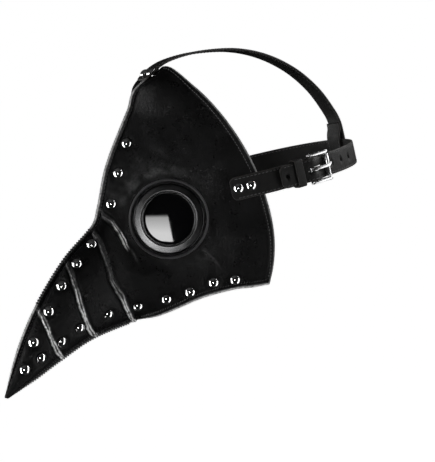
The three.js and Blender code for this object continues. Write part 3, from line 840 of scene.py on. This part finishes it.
def grid_line(reach, distance, rows):
    """The polyline on the panel's outer face at one distance from an edge, and its normals."""
    both = np.concatenate([panel["outer"], panel["normal"]], -1)
    line = []
    for i in rows:
        order = np.argsort(reach[i])
        line.append(read_at(distance, reach[i][order], both[i][order]))
    line = np.array(line)
    return line[:, :3], unit(line[:, 3:])


def add_panel_stitches():
    seam = whip_stitches(0.0, 2.02, 3.98, 2.6, 0.68)
    add_piece("seam_stitching", joined(seam), DARK_THREAD)
    parts = whip_stitches(1.0, 0.25, 3.9, 2.4, 0.62)
    # the top of the beak, the brow, the hem, and the rear edge
    for rows in (rows_between(0.25, 1.95), rows_between(4.05, 8.1)):
        line = grid_line(panel["from_top"], FIN - 0.9, rows)
        parts += both_sides(running_stitches(*line, 3.0, 2.0))
    line = grid_line(panel["from_hem"], HEM + 0.2, rows_between(JUNCTION + 0.35, LAST - 0.12))
    parts += both_sides(running_stitches(*line, 2.3, 1.9, lean=0.6))
    from_rear = panel["from_rear"][:, SEAM_STEPS.size + MIDDLE_STEPS // 2]
    row = np.argmin(np.abs(from_rear - HEM - 0.9))
    line = [panel[name][row, 14:-10] for name in ("outer", "normal")]
    parts += both_sides(running_stitches(*line, 2.8, 2.0))
    add_piece("panel_stitching", joined(parts), THREAD)


add_panel_stitches()


# ---- rivets
RIVET_R = 4.4
RIVET_CROWN = 2.3  # how high its head is domed
RIVET_BALL = (RIVET_R ** 2 + RIVET_CROWN ** 2) / (2 * RIVET_CROWN)


def rivet(point, normal, cover):
    """A domed head on top of a cover of some thickness, its post, and its cap inside the panel."""
    top = cover + 0.35
    bottom = -LEATHER - 0.75
    dome = [[RIVET_BALL * math.sin(a), top + RIVET_CROWN - RIVET_BALL * (1 - math.cos(a))]
            for a in np.linspace(0, math.asin(RIVET_R / RIVET_BALL) * 0.985, 10)]
    profile = dome + [[RIVET_R, top - 0.1], [RIVET_R - 0.25, top - 0.28], [1.8, top - 0.28],
                      [1.8, bottom], [3.4, bottom], [3.4, bottom - 0.3], [3.0, bottom - 0.8],
                      [0, bottom - 0.9]]
    return turned(profile[::-1], point, normal, 28)


ON_STRAP = STRAP + STRAP_LIFT
panel_seats = [(skin(s, v), skin_normal(s, v), 0) for s, v in RIVETS]
tab_seats = [(TAB_MIDDLE + TAB_ALONG * d, TAB_AXIS, ON_STRAP) for d in (-5.5, 5.5)]
crown_seat = [(CROWN + [6, 0, 0], CROWN_AXIS, ON_STRAP)]
for side in SIDES:
    for name, seats, nodes in (
            ("panel_rivets", panel_seats, [f"rivet_{side}_{i + 1}" for i in range(len(RIVETS))]),
            ("tab_rivets", tab_seats, [f"strap_rivet_{side}_{i}" for i in (1, 2)]),
            ("top_rivet", crown_seat, [f"crown_rivet_{side}"])):
        shape = on_side(side, joined([rivet(*seat) for seat in seats]))
        add_piece(f"{name}_{side}", shape, RIVET_METAL, nodes)


# ---- eyes
# Sections as radius and height along the lens's axis.
WELT_PROFILE = [[31.6, 0.3], [34, 0.3], [34.15, 0.9], [34.0, 1.5], [33.7, 2.0], [33.3, 2.28],
                [32.9, 2.3], [32.55, 2.08], [32.35, 1.6], [32.3, 0.9], [32.25, 0.5]]
BEZEL_PROFILE = [[21.5, 1.2], [23.5, 1.2], [23.5, -4.5], [25.5, -4.5], [25.5, 0.3], [29.8, 0.3],
                 [30, 0.5], [30, 1.5], [29.92, 1.85], [29.7, 2.2], [29.4, 2.38], [28.9, 2.48],
                 [28.6, 2.51], [27.5, 2.6], [25.5, 2.77], [24.4, 2.86], [24.1, 2.88], [23.8, 2.82],
                 [23.5, 2.5], [23.2, 2.36], [22.95, 2.4], [22.7, 2.62], [22.5, 2.9], [22.2, 2.96],
                 [22.0, 2.93], [21.75, 2.65], [21.5, 2.2]]
BACK_RING_PROFILE = [[21.5, -1.4], [21.5, -5.7], [21.8, -6], [29.7, -6], [30, -5.7], [30, -2.4],
                     [29.7, -2.1], [25.8, -2.1], [25.8, -4.8], [23.2, -4.8], [23.2, -1.4]]
LENS_BALL = 250  # radius of the lens's outer face
LENS_PROFILE = [[0, -0.3], [12, -0.6], [21, -1.1], [23.2, -1.1], [23.2, 0.95], [21.35, 0.95]] \
    + [[r, 2.05 - r * r / (2 * LENS_BALL)] for r in np.linspace(21.2, 0, 16)]
EYE_PIECES = {
    "welt": (WELT_PROFILE, WELT, "panel_leather", 128),
    "bezel": (BEZEL_PROFILE, BEZEL_METAL, "bezel_metal", 128),
    "back_ring": (BACK_RING_PROFILE, BEZEL_METAL, "bezel_metal", 96),
    "lens": (LENS_PROFILE, LENS, "dark_lens", 96),
}
for side in SIDES:
    for kind, (profile, material, slot, segments) in EYE_PIECES.items():
        shape = on_side(side, turned(profile, EYE, EYE_AXIS, segments))
        add_piece(f"{kind}_{side}", shape, material, [f"eye_{kind}_{side}"])


# ---- harness
UP = (0, 0, 1)
STITCH_IN = 1.9  # stitch rows, in from the strap's edges
STRAP_CORNER = 5.0  # radius at the corners of a strap's rounded end
EDGE_WEAR = 0.55
TAB_START = TAB_END - TAB_LENGTH * np.array([-TAB_AXIS[1], TAB_AXIS[0]])
HEEL_MIDDLE = np.array([*HEEL, STRAP_Z])
AXLE_MIDDLE = np.array([HEEL[0], ROLLER_Y, STRAP_Z])


def strap_section():
    """Half outline mirrored: round edges and a shallow groove under each row of stitches."""
    w, t = STRAP_WIDTH / 2, STRAP / 2
    g = w - STITCH_IN
    upper = [[w, 0], [w - 0.05, 0.35 * t], [w - 0.25, 0.75 * t], [w - 0.75, t], [g + 0.5, t],
             [g, t - 0.16], [g - 0.5, t], [g - 2, t + 0.03], [0.5 * w, t + 0.05]]
    upper = upper + [[0, t + 0.05]] + [[-x, y] for x, y in upper[::-1]]
    return np.array(upper + [[x, -y] for x, y in upper[-2:0:-1]])


def rounded_end(distance):
    """Share of the full width left at a distance from a strap's rounded end."""
    t = np.clip(distance, 0, STRAP_CORNER)
    flat = STRAP_WIDTH / 2 - STRAP_CORNER
    return (flat + np.sqrt(STRAP_CORNER ** 2 - (STRAP_CORNER - t) ** 2)) / (STRAP_WIDTH / 2)


def strap_body(path, side, round_finish):
    """A strap along a path, and its wear. It starts with a rounded end, and may finish with one."""
    ends = np.array([0, 0.25, 0.8, 1.7, 3.0, 5.0])
    lengths = lengths_along(path)
    whole = lengths[-1]
    at = np.unique(np.r_[ends, np.arange(6, whole - 6, 1.3), whole - ends])
    share = rounded_end(at)
    if round_finish:
        share = np.minimum(share, rounded_end(whole - at))
    section = strap_section()
    sections = np.repeat(section[None], len(at), 0)
    sections[..., 0] *= np.maximum(share, 0.05)[:, None]
    sections[..., 1] *= np.minimum(1, 0.55 + np.minimum(at, whole - at))[:, None]
    edge = np.abs(section[:, 0]) > STRAP_WIDTH / 2 - 0.8
    wear_and_sheen = np.tile(np.where(edge, EDGE_WEAR, 0.0), len(at))
    return swept(read_at(at, lengths, path), side, sections), wear_and_sheen


def strap_stitches(path, side):
    """Two rows of stitches along each face of a strap."""
    lengths = lengths_along(path)
    side = unit(np.broadcast_to(np.asarray(side, float), path.shape))
    other = unit(np.cross(unit(np.gradient(path, axis=0)), side))
    rows = (lengths >= 4) & (lengths <= lengths[-1] - 2.5)
    parts = []
    for face in (1, -1):
        for edge in (1, -1):
            line = path + side * edge * (STRAP_WIDTH / 2 - STITCH_IN) + other * face * (STRAP / 2 - 0.12)
            parts += running_stitches(line[rows], other[rows] * face, 3.4, 2.3)
    return parts


def stitches_across(start, end, normal):
    """A straight row of stitches between two points."""
    return running_stitches([start, end], [normal, normal], 2.6, 1.9)


def cut(obj, cutters):
    """Takes closed shapes out of a piece."""
    tools = [mesh_object(f"{obj.name}_cutter_{i}", shape) for i, shape in enumerate(cutters)]
    for tool in tools:
        modifier = obj.modifiers.new("cut", "BOOLEAN")
        modifier.operation, modifier.solver, modifier.object = "DIFFERENCE", "EXACT", tool
    graph = bpy.context.evaluated_depsgraph_get()
    mesh = bpy.data.meshes.new_from_object(obj.evaluated_get(graph))
    obj.modifiers.clear()
    obj.data = mesh
    for tool in tools:
        bpy.data.objects.remove(tool)


def smooth(points, count):
    return spline(points, np.linspace(0, len(points) - 1, count + 1))


def at_height(line, z=STRAP_Z):
    return np.c_[line, np.full(len(line), float(z))]


def slot_shape(from_y, to_y, from_x, to_x, half=2.1):
    """An oblong hole with round ends, through a strap along X."""
    outline = np.vstack([arc([to_y - half, STRAP_Z], half, -90, 90, 8),
                         arc([from_y + half, STRAP_Z], half, 90, 270, 8)])
    return skinned(np.array([np.insert(outline, 0, x, axis=1) for x in (from_x, to_x)]))


def hole_shape(centre, normal):
    return turned([[0, -3], [1.9, -3], [1.9, 3], [0, 3]], centre, normal, 24)


def add_strap(name, path, side, node, round_finish=False, holes=()):
    shape, wear_and_sheen = strap_body(path, side, round_finish)
    piece = add_piece(name, shape, STRAP_LEATHER, [node], wear_and_sheen=wear_and_sheen)
    if holes:
        cut(piece, holes)


def add_left_strap():
    """Back strap that is folded round the heel bar and sewn down on itself."""
    hx, hy = HEEL
    main = smooth([TAB_END, [75.3, 61], [76.6, 73], [76.6, 80]], 24)
    fold = arc(HEEL, 2.8, 180, 0, 18)
    back = smooth([[82.2, 96], [82.1, 93.5], [80.6, 89.5], [78.95, 86.2], [78.65, 83], [78.65, 80.2]], 20)
    line = np.vstack([[TAB_START], main, [[76.6, 84], [76.6, 88], [76.6, 92]], fold, back[1:]])
    path = resample(at_height(line), 0.5)
    slot = slot_shape(hy - 3.6, hy + 7, hx - 4.8, hx + 5)
    swing_room = slot_shape(hy - 6, hy + 1, hx + 0.6, hx + 5, 2.25)
    add_strap("short_back_strap", path, UP, "back_strap_left", holes=[slot, swing_room])
    parts = strap_stitches(path[:-42], UP)
    for x, y in ((79.72, 81.5), (79.85, 85.5)):
        parts += stitches_across([x, y, 4.6], [x, y, 19.4], [1.0, 0, 0])
    return parts


def add_right_strap():
    """Back strap that goes round the head and through the buckle, with its holes."""
    hx, hy = HEEL
    start = [[-x, y] for x, y in (TAB_START, TAB_END)]
    side = smooth([start[1], [-74.8, 62], [-HEAD_HALF_WIDTH, 75], [-HEAD_HALF_WIDTH, 90]], 24)
    round_back = arc([0, BACK_CENTRE_Y], HEAD_HALF_WIDTH, 180, 5, 120)
    tongue = smooth([[77, 110], [79, 106], [82.3, 101], [84.8, 96], [83.8, 91], [81.3, 86], [81, 76],
                     [79.8, 64]], 56)
    path = resample(at_height(np.vstack([start[:1], side, round_back, tongue])), 0.5)
    holes = [slot_shape(hy - 6.5, hy + 12.5, hx - 2, hx + 7.5)]
    for degrees in (12, 22, 32):
        a = math.radians(degrees)
        normal = np.array([math.cos(a), math.sin(a), 0])
        holes.append(hole_shape(normal * HEAD_HALF_WIDTH + [0, BACK_CENTRE_Y, STRAP_Z], normal))
    holes.append(hole_shape(np.array([80.3, 70, STRAP_Z]), [1, 0, 0]))
    add_strap("long_back_strap", path, UP, "back_strap_right", True, holes)
    return strap_stitches(path, UP)


def add_crown_strap():
    """Strap over the head, its rear end folded round the back strap and sewn up inside."""
    over = smooth([[-2.8, 118.4], [14.2, 126.9], [32, 130.2], [58, 130], [92, 124.5], [122, 112.5],
                   [148, 94], [167, 72], [178.5, 50], [182.4, 38], [182.95, 28]], 120)
    turn = [[182.95, 24], [182.95, 12], [182.95, 3], [182.5, 0.6], [181.4, -0.6], [180.3, -0.9],
            [179.2, -0.6], [178.1, 0.6]]
    rise = smooth([[177.6, 3], [177.6, 12], [177.6, 22], [178.6, 27.5], [180.4, 32], [180.7, 37]], 24)
    line = np.vstack([over, turn, rise])
    path = resample(np.c_[np.zeros(len(line)), line], 0.5)
    across = (-1, 0, 0)
    add_strap("crown_band", path, across, "crown_strap")
    parts = strap_stitches(path[:-24], across)
    for y, z in ((183.95, 31.5), (183.7, 35.5)):
        parts += stitches_across([-7.4, y, z], [7.4, y, z], [0, 1.0, 0.05])
    return parts


KEEPER_LOW, KEEPER_HIGH = (74.45, 0.65), (83.55, 23.35)  # the middle of its wall, in X and Z
KEEPER_CORNER = 1.6


def add_keeper():
    """Flat loop round both layers of strap."""
    (x0, z0), (x1, z1), r = KEEPER_LOW, KEEPER_HIGH, KEEPER_CORNER
    corners = [arc([x1 - r, z0 + r], r, -90, 0, 6), arc([x1 - r, z1 - r], r, 0, 90, 6),
               arc([x0 + r, z1 - r], r, 90, 180, 6), arc([x0 + r, z0 + r], r, 180, 270, 6)]
    loop = resample(np.vstack([*corners, corners[0][:1]]), 0.6)[:-1]
    path = np.insert(loop, 1, KEEPER_Y, axis=1)
    section = rounded_box(8, 1.5, 0.6)
    shape = swept(path, (0, 1, 0), section, closed=True)
    wear_and_sheen = np.tile(np.where(np.abs(section[:, 0]) > 3.5, EDGE_WEAR, 0.0), len(path))
    add_piece("sliding_keeper", shape, STRAP_LEATHER, ["strap_keeper"], "keeper", wear_and_sheen)


# ---- buckle
BAR_Z = 11.75  # its two side bars, from the middle of the strap
ROD_PROFILE = np.array([[0, -11.7], [1.5, -11.7], [1.5, -10.6], [1.42, -10.2],
                        [1.42, 10.2], [1.5, 10.6], [1.5, 11.7], [0, 11.7]])
ROD_END = [[0, 12.95], [1.3, 12.95], [1.15, 13.2], [0.7, 13.37], [0, 13.45]]
ROLLER_END = [[1.5, -9.3], [1.8, -9.5], [2.3, -9.5], [2.5, -9.2], [2.5, -8.3], [2.42, -8.15],
              [2.42, -7.9], [2.5, -7.75]]


def pill(radius, thickness, z):
    """A flat bar from the heel bar to the roller axle, with eased edges."""
    steps = [(-1, 0.55), (-0.86, 0.18), (-0.5, 0), (0.5, 0), (0.86, 0.18), (1, 0.55)]
    rings = []
    for share, inset in steps:
        ring = np.vstack([arc(HEEL, radius - inset, 180, 360, 16),
                          arc(AXLE_MIDDLE, radius - inset, 0, 180, 16)])
        rings.append(at_height(ring, z + share * thickness / 2))
    return skinned(np.array(rings))


def add_buckle_frame():
    parts = [turned(ROD_PROFILE, HEEL_MIDDLE, UP, 32),
             turned(ROD_PROFILE * [0.8, 1], AXLE_MIDDLE, UP, 32),
             pill(2.4, 2.5, STRAP_Z - BAR_Z), pill(2.4, 2.5, STRAP_Z + BAR_Z)]
    for way in (-1, 1):
        for middle in (HEEL_MIDDLE, AXLE_MIDDLE):
            parts.append(turned([[r, z * way] for r, z in ROD_END][::way], middle, UP, 24))
    add_piece("roller_buckle_frame", joined(parts), BUCKLE_METAL, ["buckle_frame"])


def add_roller():
    ring = ROLLER_END + [[r, -z] for r, z in ROLLER_END[::-1]]
    shape = turned(ring, AXLE_MIDDLE, UP, 40)
    add_piece("buckle_roller_tube", shape, BUCKLE_METAL, ["buckle_roller"], "roller")


def add_prong():
    """Flat wire bent into an eye round the heel bar, and tapered to a rounded tip on the roller."""
    eye = arc(HEEL, 2.42, 60, 328, 22)
    arm = smooth([eye[-1], [82.4, 97.2], [83.0, 101], [83.2, 106], [83.2, 112], [83.05, 114.8]], 40)[1:]
    path = resample(at_height(np.vstack([eye, arm])), 0.45)
    section = rounded_box(3, 1, 0.42)
    along = lengths_along(path)
    whole = along[-1]
    thick = 1.15 + 0.75 * smoothstep(along, 11, 17) - 0.6 * smoothstep(along, whole - 5, whole)
    share = 1 - 0.25 * smoothstep(along, whole - 9, whole)
    tip = np.sqrt(np.clip((whole - along + 0.08) / 1.2, 0, 1))
    sections = np.repeat(section[None], len(path), 0)
    sections[..., 0] *= (share * tip)[:, None]
    sections[..., 1] *= (thick * tip)[:, None]
    shape = swept(path, UP, sections)
    add_piece("buckle_tongue", shape, BUCKLE_METAL, ["buckle_prong"], "prong")


harness = add_left_strap() + add_right_strap() + add_crown_strap()
add_piece("harness_stitching", joined(harness), THREAD)
add_keeper()
add_buckle_frame()
add_roller()
add_prong()


# ---- light and floor
FLOOR_Z = -3000
FLOOR_HALF = 90000
WORLD_LIGHT = 0.012  # the world as the mask sees it, and below as the camera sees it
WORLD_SEEN = 1.0
FLOOR_GLOW = 0.985

# Soft boxes: name, place from the left lens by the camera's right, up and back in metres, size,
# radiance, slant. A slanted box keeps its top edge level, and its right and top sides come nearer
# by those slopes. The others face the lens.
SOFT_BOXES = [
    ("key", (-0.219, -0.138, 1.973), (0.42, 0.46), 17, (0.432, 0.432)),
    ("left_strip", (-1.33, -0.42, 0.38), (0.7, 2.2), 5.8, None),
    ("right_strip", (1.36, -0.36, 0.3), (0.6, 2.2), 3.0, None),
    ("top", (-0.5, 1.5, 0.9), (1.8, 1.2), 0.02, None),
    ("far_side", (-1.73, -0.02, -0.95), (0.9, 1.2), 5.0, None),
    ("rear", (1.16, 0.91, -0.485), (1.0, 1.0), 6.0, None),
]


# The slanted box's glow up its height: from, to, and the glow at each. The two are multiplied.
KEY_FADES = ((0.35, 1, 1.3, 0.6), (0.9, 0.99, 1, 0.12))
SUN = 0.025
SUN_SPREAD = math.radians(90)


def dim_towards_top(data):
    """Makes a soft box's glow uneven: strongest near the bottom, with a soft top edge."""
    n = Nodes(data)
    place = n.add("ShaderNodeNewGeometry").outputs["Parametric"]
    height = n.add("ShaderNodeSeparateXYZ", {0: place}).outputs[1]
    glow, edge = (n.ramp(height, *fade) for fade in KEY_FADES)
    n.feed(n.maths("MULTIPLY", glow, edge), n.tree.nodes["Emission"].inputs["Strength"])


def area_light(name, place, size, radiance, slant):
    """A soft box that faces the left lens, or is slanted with an uneven glow."""
    eye = Vector(EYE) * MM
    spot = eye + CAMERA_RIGHT * place[0] + CAMERA_OVER * place[1] + CAMERA_BACK * place[2]
    if slant:
        side = (CAMERA_RIGHT - slant[0] * CAMERA_BACK).normalized()
        over = CAMERA_OVER - slant[0] * slant[1] * CAMERA_RIGHT - slant[1] * CAMERA_BACK
        back = side.cross(over.normalized())
    else:
        back = (spot - eye).normalized()
        side = CAMERA_OVER.cross(back).normalized()
    turn = Matrix((side, back.cross(side), back)).transposed()
    data = bpy.data.lights.new(name, "AREA")
    data.shape = "RECTANGLE"
    data.size, data.size_y = size
    data.energy = radiance * math.pi * size[0] * size[1]
    if slant:
        dim_towards_top(data)
    linked(name, data).matrix_world = Matrix.Translation(spot) @ turn.to_4x4()


def add_floor():
    n = material_nodes("pale_floor")
    seen = n.add("ShaderNodeLightPath").outputs["Is Camera Ray"]
    tone = n.mix(n.noise(3, 3), (0.78, 0.78, 0.78), (0.82, 0.82, 0.82))
    colour = n.mix(seen, (0.06, 0.06, 0.06), tone)
    glow = n.ramp(seen, 0, 1, 0, FLOOR_GLOW)
    material = n.finish(Base_Color=colour, Roughness=0.9, Specular_IOR_Level=0.1,
                        Emission_Color=(1.0, 1.0, 1.0), Emission_Strength=glow)
    corners = [(x * FLOOR_HALF, y * FLOOR_HALF, FLOOR_Z)
               for x, y in ((-1, -1), (1, -1), (1, 1), (-1, 1))]
    floor = mesh_object("floor", (corners, [(0, 1, 2, 3)]))
    floor.data.materials.append(material)


def light_scene():
    world = bpy.data.worlds.new("studio")
    n = Nodes(world)
    seen = n.add("ShaderNodeLightPath").outputs["Is Camera Ray"]
    background = n.tree.nodes["Background"]
    n.feed(n.ramp(seen, 0, 1, WORLD_LIGHT, WORLD_SEEN), background.inputs["Strength"])
    n.feed(1, background.inputs["Color"])
    bpy.context.scene.world = world
    for box in SOFT_BOXES:
        area_light(*box)
    data = bpy.data.lights.new("overhead", "SUN")
    data.energy, data.angle = SUN, SUN_SPREAD
    linked("overhead", data)


add_floor()
light_scene()
bpy.context.scene.view_settings.view_transform = "Standard"
